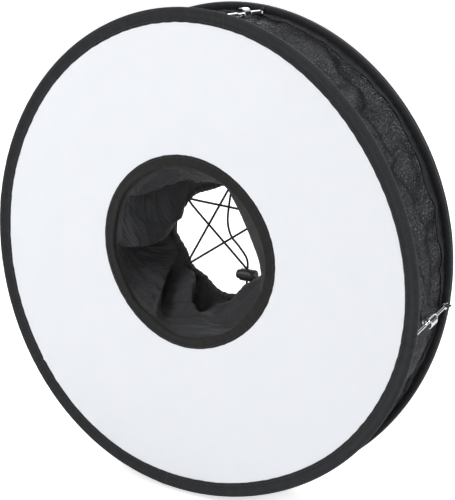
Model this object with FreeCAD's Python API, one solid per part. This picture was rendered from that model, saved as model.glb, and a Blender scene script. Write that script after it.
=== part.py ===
"""Collapsible ring softbox for a camera-mounted flash.

Two spring hoops, each sewn into a black edge tape, hold a white front diffuser and a black
rear panel apart. Four two-piece struts stand between the hoops. The lens goes through the
hole in the middle, where a laced elastic cord grips it, and the flash head goes into a
fabric sleeve above the hole, at the back.

Frame: millimetres, +Z up, the ring's axis along Y, the diffuser facing -Y. The parts are
drawn about the ring's axis with the rear hoop in the plane y = 0, and are then moved so that
the finished frame's origin is on the lens axis. Each sub-part is written to parts/NODE.step.
"""
import FreeCAD, Part

import math
import os

V = FreeCAD.Vector
AXIS = V(0, 1, 0)

# Overall ring
RING_R = 230.0  # outer radius over the edge tape
DEPTH = 75.0  # between the two hoop planes
REAR_Y = 0.0
FRONT_Y = REAR_Y - DEPTH

# Hoops and the tape folded over them
WIRE_R = 1.5
BEAD_R = 3.2  # tape rolled round the wire
BEAD_FLATS = 24
TAPE_WIDTH = 13.5
TAPE_LEAF = 0.75  # one leaf of the folded tape
HOOP_R = RING_R - BEAD_R
TAPE_IN_R = RING_R - TAPE_WIDTH
HOOP_JOINT_DEG = 50.0  # where the hoop ends meet in a crimp sleeve
HOOP_GAP = 1.0
FERRULE_LENGTH = 16.0
FERRULE_WALL = 0.6
WIRE_PLAY = 0.1

# Sheets
CLOTH = 0.5
FOIL = 0.3
SHEET_R = HOOP_R - WIRE_R - 2.0  # outer edge of every sheet, inside the tape
PLAY = 0.05

# Lens hole: it sits a little high and to one side, as it is sewn
HOLE_X = -4.0
HOLE_Z = 7.0
HOLE_R = 92.5  # edge of the white cloth
TRIM_WIDTH = 11.0
TRIM_BEAD_R = 2.1
TRIM_WIRE_R = 1.0
SLEEVE_FRONT_R = HOLE_R + 1.0
SLEEVE_REAR_R = 66.0
SEAM_ALLOWANCE = 7.0

# Lens cuff and its laced cord
CUFF_R = 57.0
CUFF_Y = REAR_Y - 8.0
HEM_R = 3.4
CORD_R = 1.1
EYELET_R = 4.0
CORD_LEVELS = 2.3  # crossing runs of cord lie this far apart along the axis

# Flash sleeve on the rear panel
FLASH_Z = 150.0
FLASH_W = 84.0
FLASH_H = 54.0
FLASH_LENGTH = 44.0
FLASH_TAPER = 4.0
FLASH_CORNER = 10.0
FLASH_CLOTH = 1.0
STRAP_WIDTH = 20.0
STRAP_THICK = 1.4

# Side wall
WALL_R = HOOP_R - 5.2
WALL_SAG = 7.0  # how far the cloth pulls in half way

# Struts
STRUT_PHASE_DEG = 82.0  # first strut, from +X towards +Z
STRUT_COUNT = 4
STRUT_R = HOOP_R
FRONT_SHIFT = [0.0, -6.5, 0.0, 0.0]  # each front pivot along the rim, towards rising angle
REAR_SHIFT = [0.0, 7.5, 0.0, 0.0]  # the second strut's loops are sewn askew
PIVOT_OFFSET = 7.0  # pivot to its hoop plane
ROD_R = 1.75
EYE_R = 3.2
EYE_HOLE_R = 1.1
LOOP_R = 1.0
EYE_THICK = 2.4
CUP_R = 5.5
CUP_LENGTH = 11.0
CUP_FLOOR = 2.5
CUP_START = 25.0  # from the rear pivot to the cup's closed end
CUP_BORE_R = 2.2
CUP_MOUTH_R = 4.0
CUP_MOUTH_DEPTH = 0.8
TIP_GAP = 5.2  # the front rod's tip to the cup's floor, which lets it leave sideways
MAGNET_R = 1.5
MAGNET_THICK = 2.0
MAGNET_DEPTH = 6.0  # from the cup's floor to the magnet's centre

# Cord lock
LOCK_X = 16.5
LOCK_Y = CUFF_Y + 5.2  # it hangs behind the crossed cords
LOCK_Z = -27.0
LOCK_R = 6.0
LOCK_SHORT_END = 6.0  # from the cord to the end where the plunger goes in
LOCK_LONG_END = 10.0
LOCK_WALL = 1.4
PLUNGER_R = 4.5
PLUNGER_OUT = 4.5
PLUNGER_PAST_CORD = 2.5
CORD_HOLE_R = 1.5
PRESS_TRAVEL = 3.0
SPRING_TURNS = 4
SPRING_STEPS = 10  # per turn
SPRING_WIRE_R = 0.35
SPRING_R = 2.6
CORD_END_Z = -38.0


# ---- helpers -------------------------------------------------------------------------

def revolve(edges, x=0.0, z=0.0):
    """Turns a closed profile, drawn with X as radius and Y along the axis, about (x, z)."""
    solid = Part.Face(Part.Wire(edges)).revolve(V(0, 0, 0), AXIS, 360)
    solid.translate(V(x, 0, z))
    return solid


def polygon(points):
    """Closed straight-edged profile through (radius, y) points."""
    return Part.makePolygon([V(r, y, 0) for r, y in [*points, points[0]]]).Edges


def washer(r_in, r_out, y_low, y_high, x=0.0, z=0.0):
    return revolve(polygon([(r_in, y_low), (r_out, y_low), (r_out, y_high), (r_in, y_high)]), x, z)


def torus(r, tube, y, x=0.0, z=0.0):
    return Part.makeTorus(r, tube, V(x, y, z), AXIS)


def on_ring(r, degrees, y):
    a = math.radians(degrees)
    return V(r * math.cos(a), y, r * math.sin(a))


def rod_between(a, b, r):
    return Part.makeCylinder(r, (b - a).Length, a, b - a)


def cord_run(points, r):
    """Round cord through points, with a ball at every bend."""
    solid = rod_between(points[0], points[1], r)
    for a, b in zip(points[1:-1], points[2:]):
        solid = solid.fuse([Part.makeSphere(r, a), rod_between(a, b, r)])
    return solid.removeSplitter()


def rounded_rectangle(width, height, corner, y, z):
    """Closed wire in a plane of constant y, centred on (0, z)."""
    w, h = width / 2, height / 2
    box = Part.makePolygon([V(-w, y, z - h), V(w, y, z - h), V(w, y, z + h), V(-w, y, z + h),
                            V(-w, y, z - h)])
    face = Part.Face(box).extrude(V(0, 1, 0))
    upright = [e for e in face.Edges if abs(e.tangentAt(e.FirstParameter).y) > 0.9]
    solid = face.makeFillet(corner, upright)
    flat = min(solid.Faces, key=lambda f: f.CenterOfMass.y)
    return flat.OuterWire


def tapered_tube(width, height, corner, y_low, y_high, taper, wall):
    """Rounded rectangular tube about the flash sleeve's centre line, narrowing by taper."""
    def body(grow):
        low = rounded_rectangle(width + grow, height + grow, corner + grow / 2, y_low, FLASH_Z)
        high = rounded_rectangle(width + grow - taper, height + grow - taper, corner + grow / 2,
                                 y_high, FLASH_Z)
        return Part.makeLoft([low, high], True, True)

    return body(2 * wall).cut(body(0))


# ---- hoops, tapes and sheets ---------------------------------------------------------

def hoop_wire(y):
    """Spring wire bent to a circle, with its two ends just short of each other."""
    ring = torus(HOOP_R, WIRE_R, y)
    gap = Part.makeBox(HOOP_GAP, 4 * WIRE_R, 4 * WIRE_R, V(-HOOP_GAP / 2, -2 * WIRE_R, -2 * WIRE_R))
    gap.rotate(V(0, 0, 0), AXIS, 90 - HOOP_JOINT_DEG)
    gap.translate(on_ring(HOOP_R, HOOP_JOINT_DEG, y))
    return ring.cut(gap)


def hoop_ferrule(y):
    """Crimp sleeve over the wire's ends, following the hoop."""
    half = math.degrees(FERRULE_LENGTH / 2 / HOOP_R)
    centre = V(HOOP_R, 0, 0)
    outer = Part.Face(Part.Wire(Part.makeCircle(WIRE_R + FERRULE_WALL, centre, V(0, 0, 1))))
    inner = Part.Face(Part.Wire(Part.makeCircle(WIRE_R + WIRE_PLAY / 2, centre, V(0, 0, 1))))
    sleeve = outer.cut(inner).Faces[0].revolve(V(0, 0, 0), AXIS, 2 * half)
    sleeve.rotate(V(0, 0, 0), AXIS, -HOOP_JOINT_DEG - half)
    sleeve.translate(V(0, y, 0))
    return sleeve


def bead_section(r, y, radius):
    """Nearly round face in a profile, in flats as folded tape is, its centre at (r, y)."""
    turns = [2 * math.pi * k / BEAD_FLATS for k in range(BEAD_FLATS)]
    corners = [(r + radius * math.cos(a), y + radius * math.sin(a)) for a in turns]
    return Part.Face(Part.Wire(polygon(corners)))


def folded_tape(bead_centre, bead_r, slot, wire_room, y, outer_end, inner_end, inner_side, x=0.0, z=0.0):
    """Tape folded over a wire: a round bead with two leaves that clamp the sheets' edges.

    The leaf on the inner side, which is +1 or -1 along Y, may end short of the other.
    """
    def leaf(end, y_low, y_high):
        corners = [(bead_centre, y_low), (end, y_low), (end, y_high), (bead_centre, y_high)]
        return Part.Face(Part.Wire(polygon(corners)))

    half = inner_side * (slot + TAPE_LEAF)
    leaves = [leaf(outer_end, y, y - half), leaf(inner_end, y, y + half)]
    room = [bead_section(bead_centre, y, wire_room), leaf(outer_end, y - slot, y + slot)]
    profile = bead_section(bead_centre, y, bead_r).fuse(leaves).cut(room).removeSplitter()
    quarters = []
    for turn in range(0, 360, 90):
        quarter = profile.Faces[0].revolve(V(0, 0, 0), AXIS, 90)
        quarter.rotate(V(0, 0, 0), AXIS, turn)
        quarters.append(quarter)
    solid = quarters[0].fuse(quarters[1:])
    solid.translate(V(x, 0, z))
    return solid


def edge_tape(y, slot, inner_side):
    """The wall is sewn in close to the wire, so the tape's inner leaf stops just outside it."""
    wire_room = WIRE_R + FERRULE_WALL + WIRE_PLAY
    return folded_tape(HOOP_R, BEAD_R, slot, wire_room, y, TAPE_IN_R, WALL_R + 0.3, inner_side)


FRONT_SLOT = CLOTH + PLAY
REAR_SLOT = (2 * CLOTH + FOIL) / 2 + PLAY


def sheet(y_low, y_high, hole_r):
    """Round sheet out to the tape, with the lens hole."""
    full = washer(1.0, SHEET_R, y_low, y_high)
    hole = Part.makeCylinder(hole_r, 4 * (y_high - y_low), V(HOLE_X, y_low - (y_high - y_low), HOLE_Z),
                             AXIS)
    return full.cut(hole)


def flash_window():
    """The opening that the flash head reaches through, as a block to cut with."""
    outline = rounded_rectangle(FLASH_W, FLASH_H, FLASH_CORNER, REAR_Y - 4, FLASH_Z)
    return Part.Face(outline).extrude(V(0, 8, 0))


def front_diffuser():
    trim_wire = HOLE_R - TRIM_WIDTH + TRIM_BEAD_R
    return sheet(FRONT_Y - CLOTH, FRONT_Y, trim_wire + TRIM_WIRE_R + 1.0)


def front_hole_trim():
    bead = HOLE_R - TRIM_WIDTH + TRIM_BEAD_R
    room = TRIM_WIRE_R + WIRE_PLAY
    return folded_tape(bead, TRIM_BEAD_R, FRONT_SLOT, room, FRONT_Y, HOLE_R, HOLE_R, 1, HOLE_X, HOLE_Z)


def hole_wire():
    return torus(HOLE_R - TRIM_WIDTH + TRIM_BEAD_R, TRIM_WIRE_R, FRONT_Y, HOLE_X, HOLE_Z)


REAR_LAYERS = [-REAR_SLOT + PLAY, -REAR_SLOT + PLAY + CLOTH, REAR_SLOT - PLAY - CLOTH, REAR_SLOT - PLAY]


def rear_reflector():
    return sheet(REAR_LAYERS[1], REAR_LAYERS[2], SLEEVE_REAR_R).cut(flash_window())


def rear_panel():
    return sheet(REAR_LAYERS[2], REAR_LAYERS[3], SLEEVE_REAR_R).cut(flash_window())


def side_wall():
    """Cloth between the hoops: a hem in each tape, and a wall that pulls in half way."""
    out_r = WALL_R
    in_r = out_r - CLOTH
    middle = (FRONT_Y + REAR_Y) / 2
    front_low, front_high = FRONT_Y, FRONT_Y + CLOTH
    rear_low, rear_high = REAR_LAYERS[0], REAR_LAYERS[1]

    def arc(r, a, b):
        return Part.Arc(V(r, a, 0), V(r - WALL_SAG, middle, 0), V(r, b, 0)).toShape()

    def line(*points):
        return Part.makePolygon([V(r, y, 0) for r, y in points]).Edges

    edges = [
        *line((SHEET_R, front_low), (in_r, front_low)),
        arc(in_r, front_low, rear_high),
        *line((in_r, rear_high), (SHEET_R, rear_high), (SHEET_R, rear_low), (out_r, rear_low)),
        arc(out_r, rear_low, front_high),
        *line((out_r, front_high), (SHEET_R, front_high), (SHEET_R, front_low)),
    ]
    return revolve(Part.__sortEdges__(edges))


def inner_sleeve():
    """Tapered tube of cloth from the hole's trim to the rear panel, flanged at each end."""
    front_flange = HOLE_R - SEAM_ALLOWANCE
    rear_flange = SLEEVE_REAR_R + SEAM_ALLOWANCE
    rear = REAR_LAYERS[1]
    return revolve(polygon([
        (front_flange, FRONT_Y), (SLEEVE_FRONT_R + CLOTH, FRONT_Y),
        (SLEEVE_REAR_R + CLOTH, rear - CLOTH), (rear_flange, rear - CLOTH), (rear_flange, rear),
        (SLEEVE_REAR_R, rear), (SLEEVE_FRONT_R - CLOTH, FRONT_Y + CLOTH),
        (front_flange, FRONT_Y + CLOTH)]), HOLE_X, HOLE_Z)


def lens_cuff():
    """Cloth from the rear panel in to a round hem that the cord is laced through."""
    panel = REAR_LAYERS[3]
    sew_r = SLEEVE_REAR_R + SEAM_ALLOWANCE
    skirt = revolve(polygon([
        (sew_r, panel), (sew_r, panel + CLOTH), (SLEEVE_REAR_R - 2.0, panel + CLOTH),
        (CUFF_R + 0.5, CUFF_Y), (CUFF_R, CUFF_Y - CLOTH), (SLEEVE_REAR_R - 1.5, panel)]),
        HOLE_X, HOLE_Z)
    hem = torus(CUFF_R, HEM_R, CUFF_Y, HOLE_X, HOLE_Z)
    casing = torus(CUFF_R, HEM_R - CLOTH, CUFF_Y, HOLE_X, HOLE_Z)
    return skirt.fuse(hem).cut([casing, *cord_exits()]).removeSplitter()


def rear_hole_trim():
    low = REAR_LAYERS[3] + CLOTH
    return washer(SLEEVE_REAR_R - 1.5, SLEEVE_REAR_R + SEAM_ALLOWANCE + 1, low, low + TAPE_LEAF,
                  HOLE_X, HOLE_Z)


# ---- laced cord and its lock ---------------------------------------------------------

# The five eyelets in the hem, from +X towards +Z
LACE_TOP = 83.0
LACE_UPPER_LEFT = 142.0
LACE_LOWER_LEFT = 215.0
LACE_LOWER_RIGHT = -44.0
LACE_RIGHT = 31.0


def hem_point(degrees):
    return on_ring(CUFF_R, degrees, CUFF_Y) + V(HOLE_X, 0, HOLE_Z)


def cord_exits():
    """Cutters for the eyelets: each is a ball that opens the hem's inner side."""
    eyelets = [LACE_TOP, LACE_UPPER_LEFT, LACE_LOWER_LEFT, LACE_LOWER_RIGHT, LACE_RIGHT]
    inner = V(HOLE_X, CUFF_Y, HOLE_Z)
    cutters = []
    for degrees in eyelets:
        p = hem_point(degrees)
        middle = p + (inner - p).normalize() * HEM_R
        cutters.append(Part.makeSphere(EYELET_R, middle))
    return cutters


def lens_drawcord():
    """One elastic cord laced from eyelet to eyelet in four runs, with a slack fifth run."""
    runs = [
        (LACE_TOP, LACE_LOWER_LEFT, 0),
        (LACE_LOWER_LEFT, LACE_RIGHT, 0),
        (LACE_RIGHT, LACE_UPPER_LEFT, -1),
        (LACE_UPPER_LEFT, LACE_LOWER_RIGHT, -1),
    ]
    solids = []
    for start, end, level in runs:
        a, b = hem_point(start), hem_point(end)
        lift = V(0, level * CORD_LEVELS, 0)
        inner_a, inner_b = a + (b - a) * 0.12 + lift, b + (a - b) * 0.12 + lift
        solids.append(cord_run([a, inner_a, inner_b, b], CORD_R))
    y = CUFF_Y + CORD_LEVELS
    slack = [hem_point(LACE_TOP), V(-1, y, 50), V(-4, y, 25), V(0, y, 10), V(10, y, 1),
             V(LOCK_X, LOCK_Y, -12), V(LOCK_X, LOCK_Y, CORD_END_Z)]
    solids.append(cord_run(slack, CORD_R))
    solids.append(Part.makeSphere(2 * CORD_R, slack[-1]))
    hem = torus(CUFF_R, CORD_R, CUFF_Y, HOLE_X, HOLE_Z)
    return hem.fuse(solids).removeSplitter()


def lock_centre():
    return V(LOCK_X, LOCK_Y, LOCK_Z)


def along_x(r, length, start):
    return Part.makeCylinder(r, length, start, V(1, 0, 0))


def cord_hole(start_x, end_x):
    """Slot for the cord, up and down through the lock, its end centres at these x positions."""
    c = lock_centre()
    bottom = c.z - 2 * LOCK_R
    cutter = Part.makeCylinder(CORD_HOLE_R, 4 * LOCK_R, V(c.x + start_x, c.y, bottom))
    if end_x > start_x:
        box = Part.makeBox(end_x - start_x, 2 * CORD_HOLE_R, 4 * LOCK_R,
                           V(c.x + start_x, c.y - CORD_HOLE_R, bottom))
        far = Part.makeCylinder(CORD_HOLE_R, 4 * LOCK_R, V(c.x + end_x, c.y, bottom))
        cutter = cutter.fuse([box, far])
    return cutter


def round_end(solid, x, r):
    """Fillets the circular edge of a part that lies along X, at this x."""
    return solid.makeFillet(r, [e for e in solid.Edges if e.Closed and abs(e.CenterOfMass.x - x) < 0.1])


def cord_lock_body():
    c = lock_centre()
    open_end, closed_end = c.x - LOCK_SHORT_END, c.x + LOCK_LONG_END
    shell = along_x(LOCK_R, closed_end - open_end, V(open_end, c.y, c.z))
    shell = round_end(shell, closed_end, 1.5)
    bore = along_x(LOCK_R - LOCK_WALL, closed_end - open_end - LOCK_WALL, V(open_end, c.y, c.z))
    return shell.cut([bore, cord_hole(0, 0)])


def cord_lock_plunger():
    c = lock_centre()
    outer_end = c.x - LOCK_SHORT_END - PLUNGER_OUT
    stem = along_x(PLUNGER_R, c.x + PLUNGER_PAST_CORD - outer_end, V(outer_end, c.y, c.z))
    return round_end(stem, outer_end, 1.2).cut(cord_hole(-PRESS_TRAVEL, 0))


def cord_lock_spring():
    """Coil spring between the plunger and the closed end of the lock, in short straight steps."""
    c = lock_centre()
    start_x = c.x + PLUNGER_PAST_CORD + PLAY + SPRING_WIRE_R
    length = LOCK_LONG_END - LOCK_WALL - PLUNGER_PAST_CORD - 2 * PLAY - 2 * SPRING_WIRE_R
    steps = SPRING_TURNS * SPRING_STEPS
    points = []
    for i in range(steps + 1):
        turn = 2 * math.pi * i / SPRING_STEPS
        points.append(V(start_x + length * i / steps, c.y + SPRING_R * math.cos(turn),
                        c.z + SPRING_R * math.sin(turn)))
    return cord_run(points, SPRING_WIRE_R)


# ---- flash sleeve --------------------------------------------------------------------

FLASH_START = REAR_LAYERS[3]
FLASH_END = FLASH_START + FLASH_LENGTH
HEM_LENGTH = 5.0


def sleeve_width_at(y):
    """How much narrower the sleeve is at y than at its base."""
    return FLASH_TAPER * (y - FLASH_START) / FLASH_LENGTH


def flash_sleeve():
    tube = tapered_tube(FLASH_W, FLASH_H, FLASH_CORNER, FLASH_START, FLASH_END, FLASH_TAPER, FLASH_CLOTH)
    outer = rounded_rectangle(FLASH_W + 12, FLASH_H + 12, FLASH_CORNER + 6, FLASH_START, FLASH_Z)
    flange = Part.Face(outer).extrude(V(0, CLOTH, 0)).cut(flash_window())
    return tube.fuse(flange).removeSplitter()


def flash_sleeve_hem():
    w, h = FLASH_W - FLASH_TAPER, FLASH_H - FLASH_TAPER
    return tapered_tube(w, h, FLASH_CORNER, FLASH_END, FLASH_END + HEM_LENGTH, 0.0, 2.2)


def flash_strap():
    """Hook-and-loop strap round the sleeve, with its end lapped over the top."""
    low = FLASH_START + 16.0
    grow = 2 * FLASH_CLOTH + 0.4 - sleeve_width_at(low)
    w, h, corner = FLASH_W + grow, FLASH_H + grow, FLASH_CORNER + grow / 2
    band = tapered_tube(w, h, corner, low, low + STRAP_WIDTH, 0.0, STRAP_THICK)
    top = FLASH_Z + h / 2 + STRAP_THICK
    lap = Part.makeBox(46.0, STRAP_WIDTH, STRAP_THICK, V(-30.0, low, top))
    return band.fuse(lap).removeSplitter()


def strap_ring():
    """Flat wire loop that the strap turns back through."""
    low = FLASH_START + 16.0
    grow = 2 * FLASH_CLOTH + 0.4 - sleeve_width_at(low)
    top = FLASH_Z + (FLASH_H + grow) / 2 + 2 * STRAP_THICK
    x, wire, reach = 22.0, 1.2, STRAP_WIDTH / 2 + 2.4
    middle = low + STRAP_WIDTH / 2
    z = top - STRAP_THICK + wire + 0.1
    corners = [V(x - 4, middle - reach, z), V(x + 4, middle - reach, z), V(x + 4, middle + reach, z),
               V(x - 4, middle + reach, z), V(x - 4, middle - reach, z)]
    loop = cord_run(corners, wire)
    return loop.fuse(Part.makeSphere(wire, corners[0])).removeSplitter()


# ---- struts --------------------------------------------------------------------------

def strut_angle(k):
    return STRUT_PHASE_DEG - k * 360.0 / STRUT_COUNT


def strut_side(k):
    """+1 where the front rod folds towards rising angle, -1 where it folds the other way."""
    return 1 if k % 2 == 0 else -1


def to_rim(shape, k, shift=0.0):
    """Moves a part drawn at angle 0, with X radial and Z along the rim, to strut k."""
    shape.translate(V(STRUT_R, 0, shift))
    shape.rotate(V(0, 0, 0), AXIS, -strut_angle(k))
    return shape


REAR_PIVOT_Y = REAR_Y - PIVOT_OFFSET
FRONT_PIVOT_Y = FRONT_Y + PIVOT_OFFSET
PIVOT_SPAN = REAR_PIVOT_Y - FRONT_PIVOT_Y


def strut_span(k):
    """Pivot to pivot along strut k."""
    return math.hypot(PIVOT_SPAN, REAR_SHIFT[k] - FRONT_SHIFT[k])


def place_strut(shape, k):
    """Moves a part drawn on an upright strut line to strut k, leaning it about the rear pivot."""
    lean = math.degrees(math.atan2(REAR_SHIFT[k] - FRONT_SHIFT[k], PIVOT_SPAN))
    shape.rotate(V(0, REAR_PIVOT_Y, 0), V(1, 0, 0), lean)
    return to_rim(shape, k, REAR_SHIFT[k])


def rod_with_eye(pivot_y, tip_y):
    """Straight rod with a flat eye at its pivot. The eye's hole runs along the radius."""
    towards = 1 if tip_y > pivot_y else -1
    eye = Part.makeCylinder(EYE_R, EYE_THICK, V(-EYE_THICK / 2, pivot_y, 0), V(1, 0, 0))
    rod = Part.makeCylinder(ROD_R, abs(tip_y - pivot_y) - EYE_R + 1.0,
                            V(0, pivot_y + towards * (EYE_R - 1.0), 0), V(0, towards, 0))
    tip = [e for e in rod.Edges if abs(e.CenterOfMass.y - tip_y) < 0.01 and e.Closed]
    rod = rod.makeFillet(0.5, tip)
    hole = Part.makeCylinder(EYE_HOLE_R, 2 * EYE_THICK, V(-EYE_THICK, pivot_y, 0), V(1, 0, 0))
    return eye.fuse(rod).cut(hole).removeSplitter()


CUP_CLOSED_Y = REAR_PIVOT_Y - CUP_START
CUP_FLOOR_Y = CUP_CLOSED_Y - CUP_FLOOR
CUP_MOUTH_Y = CUP_CLOSED_Y - CUP_LENGTH
TIP_Y = CUP_FLOOR_Y - TIP_GAP
SEAT_DEPTH = 1.5  # how far the rear rod is pressed into the cup


def front_rod(k):
    return place_strut(rod_with_eye(REAR_PIVOT_Y - strut_span(k), TIP_Y), k)


def rear_rod(k):
    return place_strut(rod_with_eye(REAR_PIVOT_Y, CUP_CLOSED_Y - SEAT_DEPTH), k)


def magnet_pocket(side):
    face = V(0, CUP_FLOOR_Y - MAGNET_DEPTH, -side * CUP_BORE_R)
    return Part.makeCylinder(MAGNET_R, MAGNET_THICK, face, V(0, 0, -side))


def magnet_cup(k):
    """Round cup on the rear rod, open on one side, so that the front rod can swing out of it."""
    side = strut_side(k)
    depth = CUP_LENGTH - CUP_FLOOR
    body = Part.makeCylinder(CUP_R, CUP_LENGTH, V(0, CUP_CLOSED_Y, 0), V(0, -1, 0))
    body = body.makeChamfer(0.6, [e for e in body.Edges if e.Closed])
    bore = Part.makeCylinder(CUP_BORE_R, depth, V(0, CUP_FLOOR_Y, 0), V(0, -1, 0))
    mouth = Part.makeCylinder(CUP_MOUTH_R, CUP_MOUTH_DEPTH, V(0, CUP_MOUTH_Y + CUP_MOUTH_DEPTH, 0),
                              V(0, -1, 0))
    low_z = 0 if side > 0 else -2 * CUP_R
    slot = Part.makeBox(2 * CUP_BORE_R, depth, 2 * CUP_R, V(-CUP_BORE_R, CUP_MOUTH_Y, low_z))
    seat = Part.makeCylinder(ROD_R, SEAT_DEPTH, V(0, CUP_CLOSED_Y, 0), V(0, -1, 0))
    axis_point = V(0, CUP_FLOOR_Y - MAGNET_DEPTH, 0)
    pocket = Part.makeCylinder(MAGNET_R, CUP_BORE_R + MAGNET_THICK, axis_point, V(0, 0, -side))
    return place_strut(body.cut([bore, mouth, slot, seat, pocket]), k)


def magnet(k):
    return place_strut(magnet_pocket(strut_side(k)), k)


def strut_loops(hoop_y, pivot_y, shifts):
    """Sewn cord loops on the tape, one for each strut's eye to turn on."""
    towards = 1 if pivot_y > hoop_y else -1
    reach = EYE_THICK / 2 + LOOP_R + 0.5
    foot = hoop_y + towards * 0.8
    loops = []
    for k in range(STRUT_COUNT):
        path = [V(-reach, foot, 0), V(-reach, pivot_y, 0), V(reach, pivot_y, 0), V(reach, foot, 0)]
        loops.append(to_rim(cord_run(path, LOOP_R), k, shifts[k]))
    return Part.makeCompound(loops)


# ---- output --------------------------------------------------------------------------

def sub_parts():
    parts = {
        "front_hoop_wire": hoop_wire(FRONT_Y),
        "front_hoop_ferrule": hoop_ferrule(FRONT_Y),
        "front_binding": edge_tape(FRONT_Y, FRONT_SLOT, 1),
        "front_diffuser": front_diffuser(),
        "front_hole_trim": front_hole_trim(),
        "hole_wire": hole_wire(),
        "front_strut_loops": strut_loops(FRONT_Y, FRONT_PIVOT_Y, FRONT_SHIFT),
        "rear_hoop_wire": hoop_wire(REAR_Y),
        "rear_hoop_ferrule": hoop_ferrule(REAR_Y),
        "rear_binding": edge_tape(REAR_Y, REAR_SLOT, -1),
        "rear_panel": rear_panel(),
        "rear_reflector": rear_reflector(),
        "rear_hole_trim": rear_hole_trim(),
        "rear_strut_loops": strut_loops(REAR_Y, REAR_PIVOT_Y, REAR_SHIFT),
        "side_wall": side_wall(),
        "inner_sleeve": inner_sleeve(),
        "lens_cuff": lens_cuff(),
        "lens_drawcord": lens_drawcord(),
        "cord_lock_body": cord_lock_body(),
        "cord_lock_plunger": cord_lock_plunger(),
        "cord_lock_spring": cord_lock_spring(),
        "flash_sleeve": flash_sleeve(),
        "flash_sleeve_hem": flash_sleeve_hem(),
        "flash_strap": flash_strap(),
        "strap_ring": strap_ring(),
    }
    for k in range(STRUT_COUNT):
        parts[f"front_rod_{k + 1}"] = front_rod(k)
        parts[f"rear_rod_{k + 1}"] = rear_rod(k)
        parts[f"magnet_cup_{k + 1}"] = magnet_cup(k)
        parts[f"magnet_{k + 1}"] = magnet(k)
    return parts


def main():
    os.makedirs("parts", exist_ok=True)
    to_lens_axis = V(-HOLE_X, 0, -HOLE_Z)
    for node, shape in sub_parts().items():
        if not shape.isValid() or not shape.Solids or shape.Volume <= 0:
            raise ValueError(f"{node} is not a valid solid")
        shape.translate(to_lens_axis)
        shape.exportStep(f"parts/{node}.step")
        print(node, len(shape.Solids), round(shape.Volume, 1))


main()
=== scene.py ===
"""Looks of the collapsible ring softbox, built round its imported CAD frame."""

import math
from collections import namedtuple

import bpy
import numpy as np
from mathutils import Matrix, Vector


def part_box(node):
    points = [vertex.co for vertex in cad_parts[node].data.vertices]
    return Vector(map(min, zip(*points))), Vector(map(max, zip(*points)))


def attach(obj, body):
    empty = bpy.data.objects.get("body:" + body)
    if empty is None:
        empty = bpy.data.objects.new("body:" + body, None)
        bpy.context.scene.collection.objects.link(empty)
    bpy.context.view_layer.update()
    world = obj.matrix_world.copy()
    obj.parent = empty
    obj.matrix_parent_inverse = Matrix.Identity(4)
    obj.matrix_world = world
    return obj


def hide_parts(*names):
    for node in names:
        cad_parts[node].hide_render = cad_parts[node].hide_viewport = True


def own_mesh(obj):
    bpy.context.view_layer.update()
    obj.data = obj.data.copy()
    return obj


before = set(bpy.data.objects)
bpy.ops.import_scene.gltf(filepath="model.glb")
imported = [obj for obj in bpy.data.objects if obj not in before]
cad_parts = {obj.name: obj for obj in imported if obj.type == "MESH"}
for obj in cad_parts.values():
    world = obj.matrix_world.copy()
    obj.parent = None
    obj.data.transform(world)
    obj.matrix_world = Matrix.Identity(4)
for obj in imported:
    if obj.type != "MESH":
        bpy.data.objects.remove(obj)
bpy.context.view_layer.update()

MM = 0.001
TAU = 2 * math.pi
RNG = np.random.default_rng(7)


# ---- the frame's own positions, in millimetres ----

def box_mm(node):
    low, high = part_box(node)
    return np.array(low) / MM, np.array(high) / MM


def middle(node):
    low, high = box_mm(node)
    return (low + high) / 2


RING = middle("front_binding")
FRONT_Y = RING[1]
REAR_Y = middle("rear_binding")[1]
DEPTH = REAR_Y - FRONT_Y
RING_R = (box_mm("front_binding")[1][0] - box_mm("front_binding")[0][0]) / 2
HOLE = middle("front_hole_trim")
HOLE_R = (box_mm("front_hole_trim")[1][0] - box_mm("front_hole_trim")[0][0]) / 2
CUFF_HEM_R = 3.4  # the hem rolled round the lens opening
CUFF_Y = box_mm("lens_cuff")[0][1] + CUFF_HEM_R
CUFF_R = 57.0
SLEEVE_REAR_R = 66.0
BEAD_R = 3.2
HOOP_R = RING_R - BEAD_R
TRIM_WIDTH = 11.0
STRUT_DEG = [82.0 - 90.0 * k for k in range(4)]
FRONT_SHIFT = [0.0, -6.5, 0.0, 0.0]  # each strut's pivots along the rim: the second stands askew
REAR_SHIFT = [0.0, 7.5, 0.0, 0.0]
PIVOT_OFFSET = 7.0  # from a hoop to the pivots of its struts

# How far each sewn ring is from a true circle: cosine and sine shares of its 2nd to 4th harmonics
FRONT_SHAPE = ((0.6, -1.2), (1.5, -1.7), (0.2, -0.8))
REAR_SHAPE = ((-1.7, 1.8), (-0.7, 0.6), (0.9, 0.1))
HOLE_SHAPE = ((1.6, -1.3), (0.6, 0.5), (0.5, -0.3))


def out_of_round(shape, phi):
    return sum(c * np.cos(k * phi) + s * np.sin(k * phi) for k, (c, s) in enumerate(shape, 2))


def front_hoop(phi):
    return HOOP_R + out_of_round(FRONT_SHAPE, phi)


def rear_hoop(phi):
    return HOOP_R + out_of_round(REAR_SHAPE, phi)


def hole_edge(phi):
    return HOLE_R + out_of_round(HOLE_SHAPE, phi)


# ---- mesh helpers ----

def make_object(name, verts, faces, uvs=None, smooth=True):
    """New mesh object from points in millimetres. uvs holds one pair per face corner."""
    mesh = bpy.data.meshes.new(name)
    mesh.from_pydata([tuple(p) for p in np.asarray(verts) * MM], [], [tuple(f) for f in faces])
    if uvs is not None:
        layer = mesh.uv_layers.new(name="cloth")
        layer.data.foreach_set("uv", np.asarray(uvs, float).ravel())
    mesh.polygons.foreach_set("use_smooth", [smooth] * len(mesh.polygons))
    mesh.validate()
    piece = bpy.data.objects.new(name, mesh)
    bpy.context.scene.collection.objects.link(piece)
    return piece


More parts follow.
